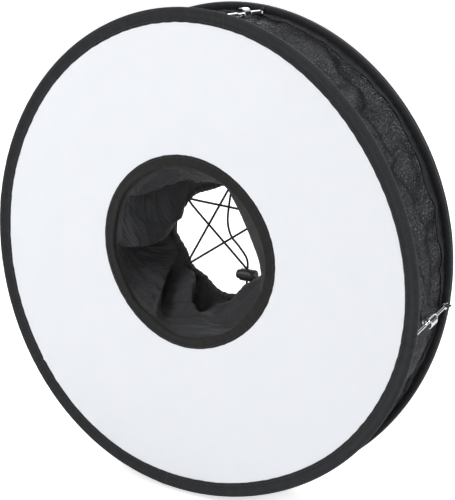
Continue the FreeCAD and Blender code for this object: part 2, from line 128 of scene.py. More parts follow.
def grid_object(name, points, u, v, wrap_u=False, wrap_v=False):
    """Quad sheet through a (rows, columns, 3) array. u and v are lengths in metres at each
    row and column, with one extra entry on a side that wraps round."""
    rows, cols = points.shape[:2]
    i, j = np.meshgrid(np.arange(rows if wrap_u else rows - 1),
                       np.arange(cols if wrap_v else cols - 1), indexing="ij")
    i, j = i.ravel(), j.ravel()
    corners = [(i, j), (i + 1, j), (i + 1, j + 1), (i, j + 1)]
    faces = np.stack([(a % rows) * cols + b % cols for a, b in corners], 1)
    uvs = np.stack([np.stack([np.asarray(u)[a], np.asarray(v)[b]], 1) for a, b in corners], 1)
    return make_object(name, points.reshape(-1, 3), faces, uvs)


def angles(n, start=0.0, sweep=TAU, closed=True):
    return start + sweep * np.arange(n) / (n if closed else n - 1)


def polar(centre, r, phi, y):
    """Points at radius r and angle phi round an axis along Y."""
    r, phi, y = np.broadcast_arrays(r, phi, y)
    return np.stack([centre[0] + r * np.cos(phi), y, centre[2] + r * np.sin(phi)], -1)


def even(r):
    """Radius of a true circle, at any angle."""
    return lambda phi: r + 0 * phi


def spoke(degrees):
    """Outward and sideways directions at an angle in a ring's plane."""
    a = math.radians(degrees)
    return np.array([math.cos(a), 0, math.sin(a)]), np.array([-math.sin(a), 0, math.cos(a)])


def lengths_round(segments, r):
    """Cloth lengths in metres at even steps round a ring."""
    return np.arange(segments + 1) / segments * TAU * r * MM


def profile_lengths(profile):
    steps = np.hypot(*np.diff(np.array(profile + profile[:1]), axis=0).T)
    return np.concatenate([[0], np.cumsum(steps)]) * MM


def ring_piece(name, profile, radius, centre, y, segments=480, start=0.0, sweep=TAU, ripple=None):
    """Sweeps a closed profile of (outward, along) offsets round a ring that may be out of round."""
    whole = sweep >= TAU - 1e-6
    phi = angles(segments, start, sweep, whole)[:, None]
    shape = np.array(profile)
    out, along = shape[None, :, 0], shape[None, :, 1]
    if ripple:
        extra_out, extra_along = ripple(phi, out, along)
        out, along = out + extra_out, along + extra_along
    points = polar(centre, radius(phi) + out, phi, y + along)
    count = segments + 1 if whole else segments
    u = np.arange(count) * sweep / (segments if whole else segments - 1) * float(np.mean(radius(phi))) * MM
    piece = grid_object(name, points, u, profile_lengths(profile), whole, True)
    if not whole:
        cap_ends(piece, len(profile))
    return piece


def cap_ends(piece, count):
    """Closes the two open ends of a swept tube whose rings have count points."""
    mesh = piece.data
    total = len(mesh.vertices)
    verts = [v.co / MM for v in mesh.vertices]
    faces = [list(p.vertices) for p in mesh.polygons]
    uvs = [tuple(d.uv) for d in mesh.uv_layers[0].data]
    for ring in (list(range(count))[::-1], list(range(total - count, total))):
        faces.append(ring)
        uvs += [(0.0, 0.0)] * count
    replacement = make_object(piece.name + "_capped", verts, faces, uvs)
    piece.data = replacement.data
    bpy.data.objects.remove(replacement)


def smooth_path(points, per_span):
    """Catmull-Rom curve through the points."""
    p = np.array(points, float)
    p = np.vstack([2 * p[0] - p[1], p, 2 * p[-1] - p[-2]])
    t = np.linspace(0, 1, per_span, endpoint=False)[:, None]
    spans = []
    for a, b, c, d in zip(p[:-3], p[1:-2], p[2:-1], p[3:]):
        spans.append(0.5 * (2 * b + (c - a) * t + (2 * a - 5 * b + 4 * c - d) * t ** 2
                            + (3 * b - a - 3 * c + d) * t ** 3))
    return np.vstack([*spans, p[-2:-1]])


def tube(name, path, r, sides=12):
    """Round tube along a path in millimetres, with closed ends. r may vary along the path."""
    path = np.asarray(path, float)
    r = np.broadcast_to(r, len(path))
    tangent = np.gradient(path, axis=0)
    tangent /= np.linalg.norm(tangent, axis=1)[:, None]
    side = np.cross(tangent[0], (0.3, 0.9, 0.2))
    points = []
    for centre, direction, radius in zip(path, tangent, r):
        side = side - direction * np.dot(side, direction)
        side /= np.linalg.norm(side)
        other = np.cross(direction, side)
        a = angles(sides)[:, None]
        points.append(centre + radius * (np.cos(a) * side + np.sin(a) * other))
    u = np.concatenate([[0], np.cumsum(np.linalg.norm(np.diff(path, axis=0), axis=1))]) * MM
    v = np.arange(sides + 1) / sides * TAU * float(np.mean(r)) * MM
    piece = grid_object(name, np.array(points), u, v, False, True)
    cap_ends(piece, sides)
    return piece


def along_path(distance, s, values):
    """Value at a distance along a path whose points lie at the distances s."""
    return np.array([np.interp(distance, s, values[:, k]) for k in range(3)])


STITCH_GAP = 0.9
THREAD_R = 0.28


def stitches(name, path, normal, length=2.2):
    """A row of thread stitches along a path, lying on the surface with the given normals."""
    path = np.asarray(path, float)
    normal = np.broadcast_to(normal, path.shape)
    s = np.concatenate([[0], np.cumsum(np.linalg.norm(np.diff(path, axis=0), axis=1))])
    count = int(s[-1] / (length + STITCH_GAP))
    mids = (np.arange(count) + 0.5) * s[-1] / count
    verts, faces = [], []
    ring = angles(6)
    for m in mids:
        ends = [along_path(m + d, s, path) for d in (-length / 2, length / 2)]
        n = along_path(m, s, normal)
        along = (ends[1] - ends[0]) / np.linalg.norm(ends[1] - ends[0])
        across = np.cross(along, n)
        base = len(verts)
        for share, size in ((0.0, 0.35), (0.2, 0.9), (0.8, 0.9), (1.0, 0.35)):
            centre = ends[0] * (1 - share) + ends[1] * share
            lift = 0.25 * math.sin(math.pi * share)
            for a in ring:
                verts.append(centre + THREAD_R * (n * (lift + size * math.sin(a))
                                                  + across * size * math.cos(a)))
        for k in range(3):
            for a in range(6):
                b = (a + 1) % 6
                lower, upper = base + 6 * k, base + 6 * k + 6
                faces.append((lower + a, lower + b, upper + b, upper + a))
        faces.append([base + a for a in range(5, -1, -1)])
        faces.append([base + 18 + a for a in range(6)])
    return make_object(name, verts, faces, np.zeros((sum(len(f) for f in faces), 2)))


class Wobble:
    """Smooth repeatable noise in one or two directions, made of a few sine waves."""

    def __init__(self, waves, low, high, whole_turns=False):
        self.k = RNG.uniform(low, high, (waves, 2)) * RNG.choice([-1, 1], (waves, 2))
        if whole_turns:
            self.k[:, 0] = np.round(self.k[:, 0])
        self.phase = RNG.uniform(0, TAU, waves)
        self.amount = RNG.uniform(0.4, 1.0, waves)
        self.amount /= np.sqrt((self.amount ** 2).sum() / 2)

    def __call__(self, a, b=0.0):
        return sum(m * np.sin(k[0] * a + k[1] * b + p)
                   for m, k, p in zip(self.amount, self.k, self.phase))


def bump_at(phi, degrees, width):
    """Bell of height 1 round an angle, with its width in degrees."""
    d = (phi - math.radians(degrees) + math.pi) % TAU - math.pi
    return np.exp(-0.5 * (d / math.radians(width)) ** 2)


# ---- cloth simulation ----

CLOTH_QUALITY = 8
CLOTH_MASS = 0.15
CLOTH_DAMPING = 4
CLOTH_GRAVITY = 0.15  # share of full gravity: the cloth is stiff for its weight
CLOTH_CLEARANCE = 0.0012  # metres kept between folds


def bake_modifiers(piece):
    """Gives a piece the mesh that its modifiers make, and removes them."""
    done = bpy.data.meshes.new_from_object(piece.evaluated_get(bpy.context.evaluated_depsgraph_get()))
    piece.modifiers.clear()
    piece.data = done


def simulate(piece, pinned, frames, grow, stiffness, bending):
    """Lets a sheet buckle: its cloth grows by a share of its size while the pinned points hold."""
    group = piece.vertex_groups.new(name="pinned")
    group.add([int(i) for i in pinned], 1.0, "REPLACE")
    cloth = piece.modifiers.new("cloth", "CLOTH")
    s = cloth.settings
    s.quality = CLOTH_QUALITY
    s.mass = CLOTH_MASS
    s.tension_stiffness = s.compression_stiffness = s.shear_stiffness = stiffness
    s.bending_stiffness = bending
    s.vertex_group_mass = "pinned"
    s.shrink_min = -grow
    s.shrink_max = -grow
    s.air_damping = CLOTH_DAMPING
    s.effector_weights.gravity = CLOTH_GRAVITY
    cloth.point_cache.frame_start = 1
    cloth.point_cache.frame_end = frames
    cloth.collision_settings.use_self_collision = True
    cloth.collision_settings.self_distance_min = CLOTH_CLEARANCE
    cloth.collision_settings.use_collision = False
    scene = bpy.context.scene
    for f in range(1, frames + 1):
        scene.frame_set(f)
    bake_modifiers(piece)
    piece.vertex_groups.clear()
    scene.frame_set(1)


def refine(piece, levels=1, thickness=0.0):
    """Gives a piece its cloth thickness, in millimetres, and rounds it by subdivision."""
    if thickness:
        solid = piece.modifiers.new("thickness", "SOLIDIFY")
        solid.thickness = thickness * MM
        solid.offset = 0
    if levels:
        sub = piece.modifiers.new("smooth", "SUBSURF")
        sub.levels = sub.render_levels = levels
    bpy.context.view_layer.update()
    bake_modifiers(piece)
    piece.data.polygons.foreach_set("use_smooth", [True] * len(piece.data.polygons))
    return piece


# ---- materials ----

class Finish:
    """Small builder for a node material round one Principled shader."""

    def __init__(self, name, color, rough, metallic=0.0, specular=0.5):
        self.material = bpy.data.materials.new(name)
        self.material.use_nodes = True
        self.nodes = self.material.node_tree.nodes
        self.links = self.material.node_tree.links
        self.shader = self.nodes["Principled BSDF"]
        self.color = color
        self.shader.inputs["Base Color"].default_value = (*color, 1)
        self.shader.inputs["Roughness"].default_value = rough
        self.shader.inputs["Metallic"].default_value = metallic
        self.shader.inputs["Specular IOR Level"].default_value = specular
        self.height = None

    def node(self, kind, **settings):
        made = self.nodes.new(kind)
        for key, value in settings.items():
            setattr(made, key, value)
        return made

    def math(self, operation, a, b=0.0):
        made = self.node("ShaderNodeMath", operation=operation)
        for socket, value in zip(made.inputs, (a, b)):
            if isinstance(value, (int, float)):
                socket.default_value = value
            else:
                self.links.new(value, socket)
        return made.outputs[0]

    def position(self):
        return self.node("ShaderNodeTexCoord").outputs["Object"]

    def noise(self, scale, detail, rough=0.5):
        made = self.node("ShaderNodeTexNoise")
        made.inputs["Scale"].default_value = scale
        made.inputs["Detail"].default_value = detail
        made.inputs["Roughness"].default_value = rough
        self.links.new(self.position(), made.inputs["Vector"])
        return made.outputs["Fac"]

    def cells(self, scale):
        made = self.node("ShaderNodeTexVoronoi", feature="SMOOTH_F1")
        made.inputs["Scale"].default_value = scale
        made.inputs["Smoothness"].default_value = 0.4
        self.links.new(self.position(), made.inputs["Vector"])
        return made.outputs["Distance"]

    def threads(self, pitch_u, pitch_v, twill=False):
        """Height of a weave with threads pitch metres apart; 0 leaves a direction plain."""
        split = self.node("ShaderNodeSeparateXYZ")
        self.links.new(self.node("ShaderNodeUVMap", uv_map="cloth").outputs[0], split.inputs[0])
        u = self.math("MULTIPLY", split.outputs[0], TAU / pitch_u) if pitch_u else None
        v = self.math("MULTIPLY", split.outputs[1], TAU / pitch_v) if pitch_v else None
        if twill:
            return self.math("SINE", self.math("ADD", u, v))
        if u is None or v is None:
            return self.math("SINE", u or v)
        return self.math("MULTIPLY", self.math("SINE", u), self.math("SINE", v))

    def raise_by(self, height, distance, strength=1.0):
        """Adds a bump layer; distance is its depth in metres."""
        bump = self.node("ShaderNodeBump")
        bump.inputs["Strength"].default_value = strength
        bump.inputs["Distance"].default_value = distance
        self.links.new(height, bump.inputs["Height"])
        if self.height:
            self.links.new(self.height, bump.inputs["Normal"])
        self.height = bump.outputs["Normal"]
        self.links.new(self.height, self.shader.inputs["Normal"])

    def stretch(self, factor, low, high):
        """Stretches the middle of a noise's range to run from low to high."""
        ramp = self.node("ShaderNodeMapRange")
        for socket, value in (("From Min", 0.3), ("From Max", 0.7), ("To Min", low), ("To Max", high)):
            ramp.inputs[socket].default_value = value
        self.links.new(factor, ramp.inputs["Value"])
        return ramp.outputs["Result"]

    def vary(self, factor, dark, light):
        """Mixes the colour between dark and light shares of itself."""
        tint = self.node("ShaderNodeVectorMath", operation="SCALE")
        tint.inputs[0].default_value = self.color
        self.links.new(self.stretch(factor, dark, light), tint.inputs["Scale"])
        self.links.new(tint.outputs[0], self.shader.inputs["Base Color"])

    def vary_rough(self, factor, low, high):
        self.links.new(self.stretch(factor, low, high), self.shader.inputs["Roughness"])

    def sheen(self, weight, rough=0.4):
        self.shader.inputs["Sheen Weight"].default_value = weight
        self.shader.inputs["Sheen Roughness"].default_value = rough
        return self


def woven(name, color, rough, pitch, depth, patchy=0.12, sheen=0.0, specular=0.3):
    """Plain-woven cloth: crossed threads, a little unevenness and slow colour drift."""
    f = Finish(name, color, rough, specular=specular)
    f.vary(f.noise(60, 4), 1 - patchy, 1 + patchy)
    f.raise_by(f.noise(900, 2), depth * 0.6, 0.5)
    f.raise_by(f.threads(pitch, pitch), depth)
    return f.sheen(sheen).material


def hard(name, color, metallic, patches, rough, grain, depth, strength):
    """Metal or plastic: roughness that drifts between two values in patches, and a fine grain."""
    f = Finish(name, color, rough[0], metallic)
    f.vary_rough(f.noise(patches, 3), *rough)
    f.raise_by(f.noise(grain, 2), depth, strength)
    return f.material


def make_materials():
    m = {}
    m["diffuser"] = woven("diffuser_cloth", (0.825, 0.838, 0.862), 0.75, 0.0011, 0.00002, 0.006)

    for key, name, color in (("tape", "edge_tape", (0.0165, 0.017, 0.0198)),
                             ("trim", "trim_tape", (0.0118, 0.0111, 0.0102))):
        tape = Finish(name, color, 0.72, specular=0.3)
        tape.vary(tape.noise(120, 4), 0.82, 1.18)
        tape.raise_by(tape.threads(0.0013, 0), 0.00014)
        tape.raise_by(tape.noise(1500, 2), 0.00006, 0.6)
        m[key] = tape.sheen(0.08).material

    pebble = Finish("wall_cloth", (0.0088, 0.0093, 0.0116), 0.28, specular=0.48)
    pebble.vary(pebble.noise(90, 3), 0.6, 1.5)
    pebble.vary_rough(pebble.noise(300, 3), 0.2, 0.4)
    pebble.raise_by(pebble.noise(190, 4, rough=0.65), 0.001, 0.6)
    pebble.raise_by(pebble.cells(720), 0.0009, 0.9)
    m["wall"] = pebble.material

    m["panel"] = woven("panel_cloth", (0.017, 0.017, 0.019), 0.62, 0.0009, 0.00008, 0.15, 0.1)
    m["sleeve"] = woven("sleeve_cloth", (0.024, 0.0243, 0.0262), 0.6, 0.0008, 0.0001, 0.25, 0.1, 0.4)

    foil = Finish("reflector_foil", (0.62, 0.63, 0.65), 0.28, metallic=0.85)
    foil.raise_by(foil.noise(70, 4), 0.0012, 0.7)
    foil.raise_by(foil.threads(0.0011, 0.0011), 0.00005)
    m["foil"] = foil.material

    braid = Finish("elastic_braid", (0.011, 0.011, 0.012), 0.6, specular=0.4)
    braid.raise_by(braid.threads(0.0016, 0.0023, twill=True), 0.00022)
    m["braid"] = braid.sheen(0.15).material

    # Lighter grey than the tape: painted highlight for the lit side of the tape's bead over the wire.
    bead_highlight_piping = Finish("bead_highlight_piping", (0.05, 0.051, 0.056), 0.5)
    bead_highlight_piping.raise_by(bead_highlight_piping.noise(1200, 2), 0.0001)
    m["bead_highlight_piping"] = bead_highlight_piping.material

    thread = Finish("sewing_thread", (0.02, 0.02, 0.022), 0.5)
    thread.raise_by(thread.noise(4000, 1), 0.0001)
    m["thread"] = thread.sheen(0.2).material

    fuzz = Finish("hook_and_loop", (0.013, 0.013, 0.014), 0.85, specular=0.2)
    fuzz.vary(fuzz.noise(700, 3), 0.6, 1.6)
    fuzz.raise_by(fuzz.noise(1400, 3), 0.0007, 0.9)
    m["fuzz"] = fuzz.sheen(0.35, 0.6).material

    m["chrome"] = hard("bright_chrome", (0.9, 0.905, 0.915), 1, 200, (0.05, 0.12), 1200, 0.00002, 0.4)
    m["steel"] = hard("spring_steel", (0.42, 0.42, 0.44), 1, 500, (0.28, 0.45), 2500, 0.00003, 0.5)
    m["plastic"] = hard("lock_plastic", (0.014, 0.014, 0.015), 0, 400, (0.35, 0.55), 3500, 0.00006, 0.6)

    plate = Finish("magnet_plate", (0.5, 0.5, 0.52), 0.22, metallic=1.0)
    plate.vary_rough(plate.noise(900, 2), 0.16, 0.3)
    m["magnet"] = plate.material
    return m


MATERIAL = make_materials()


def dress(piece, finish, body, *replaced):
    """Gives a piece its material, slot and body, and hides the CAD nodes that it stands for."""
    piece.data.materials.clear()
    piece.data.materials.append(MATERIAL[finish])
    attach(piece, body)
    if replaced:
        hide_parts(*replaced)
    return piece


def follow_depth(piece):
    """Gives a soft piece its own copy of its mesh."""
    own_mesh(piece)


def dress_cad(finish, *nodes):
    for node in nodes:
        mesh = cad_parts[node].data
        mesh.materials.clear()
        mesh.materials.append(MATERIAL[finish])


# ---- hoops and edge tapes ----

TAPE_LEAF_WIDTH = 10.3
# Half of the tape's section, from its inner edge over the wire: (from the wire, thickness)
TAPE_SECTION = [(-TAPE_LEAF_WIDTH, 0.55), (-10.0, 0.95), (-8.0, 1.05), (-6.0, 1.0), (-4.2, 1.35),
                (-2.6, 2.35), (-1.2, 2.95), (0.0, 3.15), (1.3, 2.9), (2.4, 2.1), (3.0, 1.1), (3.2, 0.0)]


def tape_profile(inner_side):
    """Closed section: the leaf on the inner side stops outside the wall, which is sewn in there."""
    outer = [(r, -h) for r, h in TAPE_SECTION]
    inner = [(r, h) for r, h in TAPE_SECTION[-2::-1] if r > -4.5] + [(-4.8, 0.5), (-9.8, 0.2)]
    return [(r, h * inner_side) for r, h in (outer + inner)[::inner_side]]


def tape_ripple():
    """The tape's inner edge wanders a little, and the fold over the wire puckers."""
    slow = Wobble(6, 3, 14, whole_turns=True)
    fine = Wobble(10, 40, 150, whole_turns=True)

    def ripple(phi, out, along):
        inner = np.clip(-out / TAPE_LEAF_WIDTH, 0, 1)
        edge = inner ** 2
        return (0.22 * edge * slow(phi) + 0.06 * fine(phi) * inner,
                0.09 * fine(phi + 1.0) * np.sign(along) * (0.4 + inner))

    return ripple


def sew(name, path, normal, body="rear_frame", length=2.2):
    return dress(stitches(name, path, normal, length), "thread", body)


def sew_ring(name, radius, centre, y, side, inset, body):
    """Stitches all round a flat ring, on the side that faces along Y or against it."""
    phi = angles(1441, closed=False)
    sew(name, polar(centre, radius(phi) - inset, phi, y), (0, side, 0), body)


def circle(r, sides):
    """Round profile for a swept ring."""
    return [(r * math.cos(a), r * math.sin(a)) for a in angles(sides)]


FERRULE_DEG = 50
FERRULE_LENGTH = 16


def build_hoop(end, radius, y, inner_side):
    """Spring wire with its ferrule, in the folded edge tape."""
    body = f"{end}_frame"
    tape = ring_piece(f"{end}_edge_tape", tape_profile(inner_side), radius, RING, y, 1080,
                      ripple=tape_ripple())
    dress(tape, "tape", body, f"{end}_binding")
    sew_ring(f"{end}_tape_stitches", radius, RING, y - inner_side * 1.03, -inner_side, 8.0, body)
    wire = ring_piece(f"{end}_spring_wire", circle(1.5, 12), radius, RING, y, 720)
    dress(wire, "steel", body, f"{end}_hoop_wire")
    ferrule = ring_piece(f"{end}_crimp_sleeve", circle(2.05, 16), radius, RING, y, 12,
                         start=math.radians(FERRULE_DEG) - FERRULE_LENGTH / 2 / HOOP_R,
                         sweep=FERRULE_LENGTH / HOOP_R)
    dress(ferrule, "steel", body, f"{end}_hoop_ferrule")


# ---- flat sheets ----

SHEET_RINGS = 90
SHEET_SEGMENTS = 720


def sheet_piece(name, inner_r, radius, y, relief):
    """Round sheet between the hole and the hoop, with its relief in millimetres."""
    rings, segments = SHEET_RINGS, SHEET_SEGMENTS
    phi = angles(segments)[:, None]
    t = np.linspace(0, 1, rings)[None, :]
    inner = polar(HOLE, inner_r(phi), phi, y)
    outer = polar(RING, radius(phi), phi, y)
    points = inner * (1 - t[..., None]) + outer * t[..., None]
    points[..., 1] += relief(phi, t)
    piece = grid_object(name, points, np.zeros(segments + 1), np.zeros(rings), True, False)
    flat = piece.data.uv_layers[0].data
    corners = np.zeros(len(piece.data.loops), int)
    piece.data.loops.foreach_get("vertex_index", corners)
    co = np.array([v.co for v in piece.data.vertices])
    flat.foreach_set("uv", co[corners][:, [0, 2]].ravel())
    return piece


def build_diffuser():
    slow = Wobble(8, 1, 5, whole_turns=True)
    pull = Wobble(10, 18, 60, whole_turns=True)

    def relief(phi, t):
        edge = np.exp(-(1 - t) / 0.07) + 0.7 * np.exp(-t / 0.06)
        belly = np.sin(math.pi * t)
        return -0.9 * belly * (1 + 0.4 * slow(phi, 3 * t)) + 0.10 * pull(phi) * edge

    piece = sheet_piece("front_diffuser_cloth", lambda p: hole_edge(p) - 6.0,
                        lambda p: front_hoop(p) - 6.0, FRONT_Y - 0.2, relief)
    refine(piece, 0, 0.5)
    dress(piece, "diffuser", "front_frame", "front_diffuser")


FLASH_CORNER = 9.0


def flash_cutter():
    """Closed box through the rear sheets where the flash head reaches in."""
    low, high = box_mm("flash_sleeve_hem")
    half = (high - low) / 2
    centre = (high + low) / 2
    outline = rounded_outline(half[0] - 2.0, half[2] - 2.0, FLASH_CORNER, 10)
    rings = [np.stack([outline[:, 0] + centre[0], np.full(len(outline), y), outline[:, 1] + centre[2]], 1)
             for y in (REAR_Y - 4, REAR_Y + 4)]
    piece = grid_object("flash_cutter", np.array(rings), [0, 1], np.zeros(len(outline) + 1), False, True)
    cap_ends(piece, len(outline))
    return piece


def rounded_outline(half_x, half_z, corner, steps):
    """Closed rounded rectangle about the origin, starting at the middle of its top side."""
    points = []
    for turn, (sx, sz) in enumerate(((1, 1), (1, -1), (-1, -1), (-1, 1))):
        cx, cz = sx * (half_x - corner), sz * (half_z - corner)
        for k in range(steps + 1):
            a = math.pi / 2 - turn * math.pi / 2 - k * math.pi / 2 / steps
            points.append((cx + corner * math.cos(a), cz + corner * math.sin(a)))
    return resample_loop(np.array(points), 8 * steps + 32)


def resample_loop(points, count):
    closed = np.vstack([points, points[:1]])
    s = np.concatenate([[0], np.cumsum(np.hypot(*np.diff(closed, axis=0).T))])
    at = np.linspace(0, s[-1], count, endpoint=False)
    return np.stack([np.interp(at, s, closed[:, 0]), np.interp(at, s, closed[:, 1])], 1)


def build_rear_sheets():
    slow = Wobble(8, 1, 6, whole_turns=True)
    pull = Wobble(14, 14, 70, whole_turns=True)

    def relief(phi, t):
        edge = np.exp(-(1 - t) / 0.08) + np.exp(-t / 0.10)
        belly = np.sin(math.pi * t)
        return 1.1 * belly * (1 + 0.5 * slow(phi, 4 * t)) + 0.28 * pull(phi) * edge

    cutter = flash_cutter()
    for name, finish, y, node in (("rear_panel_cloth", "panel", 0.7, "rear_panel"),
                                  ("rear_reflector_foil", "foil", -0.1, "rear_reflector")):
        piece = sheet_piece(name, even(SLEEVE_REAR_R + 0.5),
                            lambda p: rear_hoop(p) - 6.0, REAR_Y + y, relief)
        refine(piece, 0, 0.35)
        cut = piece.modifiers.new("cut", "BOOLEAN")
        cut.object = cutter
        cut.solver = "FAST"
        refine(piece, 0)
        dress(piece, finish, "rear_frame", node)
    bpy.data.objects.remove(cutter)


# ---- side wall ----

WALL_INSET = 5.2  # from the hoop wire to the line where the wall is sewn in
WALL_GAP = 0.8  # from the middle of a hoop to the wall's edge
WALL_PULL = 6.5  # how far the wall pulls in half way
WALL_TUCKS = 34
HEM_ROWS = 3  # rows of the wall's cloth under the rear facing


def wall_tucks(phi, t):
    """Sharp ridges and grooves that run across the wall at a slant."""
    relief = 0 * phi * t
    for k in range(WALL_TUCKS):
        crest = (k + RNG.uniform(-0.4, 0.4)) * TAU / WALL_TUCKS + RNG.uniform(-0.3, 0.3) * (t - 0.5)
        width = math.radians(RNG.uniform(1.0, 3.4))
        height = RNG.choice([-1, 1]) * RNG.uniform(1.5, 4.2)
        d = np.abs((phi - crest + math.pi) % TAU - math.pi) / width
        across = (t - RNG.uniform(0.3, 0.7)) / 0.22
        relief = relief + height * np.exp(-d) * np.exp(-0.5 * across ** 2)
    return relief


def build_wall():
    """Coated cloth between the tapes, pulled in half way, with creases from edge to edge."""
    segments, rows = 720, 21
    phi = angles(segments)[:, None]
    t = np.linspace(0, 1, rows)[None, :]
    front, rear = front_hoop(phi) - WALL_INSET, rear_hoop(phi) - WALL_INSET
    creases = Wobble(14, 18, 75, whole_turns=True)
    facets = Wobble(12, 16, 44, whole_turns=True)
    slow = Wobble(6, 4, 14, whole_turns=True)
    belly = np.sin(math.pi * t)
    slant = phi + 0.05 * (t - 0.5)
    r = front * (1 - t) + rear * t - WALL_PULL * belly
    r = r + belly * (0.3 * creases(slant, 1.5 * t) + 0.9 * facets(phi, 0.2 * t)
                     + 1.2 * slow(phi, 2 * t) + wall_tucks(phi, t))
    y = FRONT_Y + WALL_GAP + (DEPTH - 2 * WALL_GAP) * t + 0 * phi
    points = polar(RING, r, phi, y)
    u = lengths_round(segments, HOOP_R)
    piece = grid_object("side_wall_cloth", points, u, t[0] * DEPTH * MM, True, False)
    index = np.arange(segments * rows).reshape(segments, rows)
    simulate(piece, index[:, [0, -1]].ravel(), 10, 0.02, stiffness=14, bending=0.5)
    cloth = np.array([v.co for v in piece.data.vertices]).reshape(segments, rows, 3) / MM
    refine(piece, 1, 0.5)
    dress(piece, "wall", "rear_frame", "side_wall")
    follow_depth(piece)
    outward = polar(np.zeros(3), 1.0, phi, 0.0)
    facing = cloth[:, -HEM_ROWS:] + 0.8 * outward
    hem = grid_object("rear_wall_facing", facing, u, t[0, -HEM_ROWS:] * DEPTH * MM, True, False)
    dress(refine(hem, 1, 0.5), "tape", "rear_frame")
    follow_depth(hem)
    seam = np.concatenate([facing[:, 0], facing[:1, 0]]) + (0, 0.9, 0)
    around = np.concatenate([outward[:, 0], outward[:1, 0]])
    follow_depth(sew("rear_wall_stitches", seam + 0.3 * around, around, length=2.6))
    for end, radius, edge_y in (("front", front_hoop, FRONT_Y + 1.8), ("rear", rear_hoop, REAR_Y - 1.8)):
        # A thin cord behind each tape, in the lighter grey: painted highlight along the lit side of the
        # tape's bead.
        bead_highlight_piping = ring_piece(f"{end}_piping", circle(0.5, 8), lambda p: radius(p) + 2.4, RING, edge_y, 720)
        dress(bead_highlight_piping, "bead_highlight_piping", f"{end}_frame")


# ---- lens hole ----

# A fold in the inner sleeve. Its crest runs through (angle, depth share), turning by slant degrees
# over the whole depth. Before and after are its widths in degrees on the two sides of the crest;
# ahead and behind are its widths in depth. It stands in, leans along the ring and comes forward.
Fold = namedtuple("Fold", "angle depth before after slant ahead behind inward lean forward")
SLEEVE_FOLDS = [
    Fold(168, 0.50, 19, 8, -6, 0.34, 0.34, 25, 18, 9),  # pillow on the left
    Fold(187, 0.60, 7, 7, -6, 0.30, 0.30, -10, 0, 0),  # shadowed valley under it
    Fold(146, 0.82, 9, 6, 0, 0.13, 0.13, 11, 8, 3),  # tuck where the cord leaves the hem
    Fold(133, 0.55, 6, 7, -30, 0.36, 0.30, -8, 0, 0),
    Fold(118, 0.34, 18, 6, -60, 0.28, 0.30, 12, 10, 4),  # upper layer
    Fold(84, 0.50, 14, 6, -20, 0.34, 0.26, 12, 9, 3),
    Fold(212, 0.55, 13, 5, -46, 0.42, 0.36, 12, 9, 3),  # smooth lobe below the pillow
    Fold(225, 0.62, 4, 4, -50, 0.30, 0.28, -8, 0, 0),
    Fold(237, 0.74, 8, 4, -62, 0.24, 0.20, 17, 8, 6),  # small triangle beside it
    Fold(252, 0.76, 5, 8, -30, 0.20, 0.18, -11, 0, 0),  # deep gap behind the triangle
    Fold(272, 0.46, 17, 15, 0, 0.34, 0.12, 12, 0, -4),  # flat panel at the bottom
    Fold(270, 0.68, 8, 8, 150, 0.12, 0.12, -9, 0, 0),  # cleft behind the panel
    Fold(307, 0.78, 25, 30, 18, 0.28, 0.08, 22, 0, 0),  # sheet at the lower right
    Fold(20, 0.20, 30, 32, 0, 0.18, 0.12, 19, 0, 0),  # taut facing on the right
]
SLEEVE_SEAM_DEG = 251
SLEEVE_LEAN_R = 70.0  # radius at which a fold's lean is measured
SLEEVE_CLOTH_R = 75.0  # mean radius and length of the cloth, for its weave
SLEEVE_CLOTH_LENGTH = 80.0
# Where the lens opening's hem is pulled straight: (angle, width in degrees, inward)
HEM_CHORDS = [(110, 14, 5.0), (174, 8, -6.0), (203, 10, 5.0), (238, 14, 8.0)]
TRIM_IN_R = 81.0
SLEEVE_GAP = 1.4  # from the trim's middle to the sleeve's front edge


def hem_edge(phi):
    return CUFF_R - sum(inward * bump_at(phi, degrees, width) for degrees, width, inward in HEM_CHORDS)


def fold_height(fold, phi, t):
    """Height of a fold, from 0 to 1, at each angle and depth."""
    crest = np.radians(fold.angle + fold.slant * (t - fold.depth))
    d = np.degrees((phi - crest + math.pi) % TAU - math.pi)
    across = np.exp(-0.5 * (d / np.where(d < 0, fold.before, fold.after)) ** 2)
    along = (t - fold.depth) / np.where(t < fold.depth, fold.ahead, fold.behind)
    return across * np.exp(-0.5 * np.abs(along) ** 3)


def build_sleeve():
    """Folded cloth tube from the hole's trim back to the lens cuff."""
    segments, rows = 420, 49
    phi = angles(segments)[:, None]
    t = np.linspace(0, 1, rows)[None, :]
    front_r = TRIM_IN_R + 2.5 + out_of_round(HOLE_SHAPE, phi)
    belly = np.sin(math.pi * t)
    hold = np.minimum(1, np.minimum(t, 1 - t) / 0.06)
    r = front_r * (1 - t) + (hem_edge(phi) + 2.0) * t + 6.0 * belly
    y = (FRONT_Y + SLEEVE_GAP) * (1 - t) + (CUFF_Y - 1.0) * t + 0 * phi
    turn = 0 * r
    for fold in SLEEVE_FOLDS:
        height = fold_height(fold, phi, t) * hold
        r = r - fold.inward * height
        y = y - fold.forward * height
        turn = turn + fold.lean / SLEEVE_LEAN_R * height
    soft = Wobble(10, 3, 12, whole_turns=True)
    r = r + 0.7 * soft(phi, 5 * t) * belly
    points = polar(HOLE, r, phi + turn, y)
    u = lengths_round(segments, SLEEVE_CLOTH_R)
    piece = grid_object("inner_sleeve_cloth", points, u, t[0] * SLEEVE_CLOTH_LENGTH * MM, True, False)
    index = np.arange(segments * rows).reshape(segments, rows)
    simulate(piece, index[:, [0, -1]].ravel(), 4, 0.01, stiffness=20, bending=20)
    column = index[int(SLEEVE_SEAM_DEG / 360 * segments), 3:rows // 2]
    seam = np.array([piece.data.vertices[int(i)].co for i in column]) / MM
    refine(piece, 1, 0.5)
    dress(piece, "sleeve", "rear_frame", "inner_sleeve")
    follow_depth(piece)
    outward, sideways = spoke(SLEEVE_SEAM_DEG)
    for k, side in enumerate((-0.9, 0.9)):
        path = seam - 0.35 * outward + side * sideways
        row = dress(stitches(f"sleeve_seam_stitches_{k + 1}", path, -outward), "tape", "rear_frame")
        follow_depth(row)


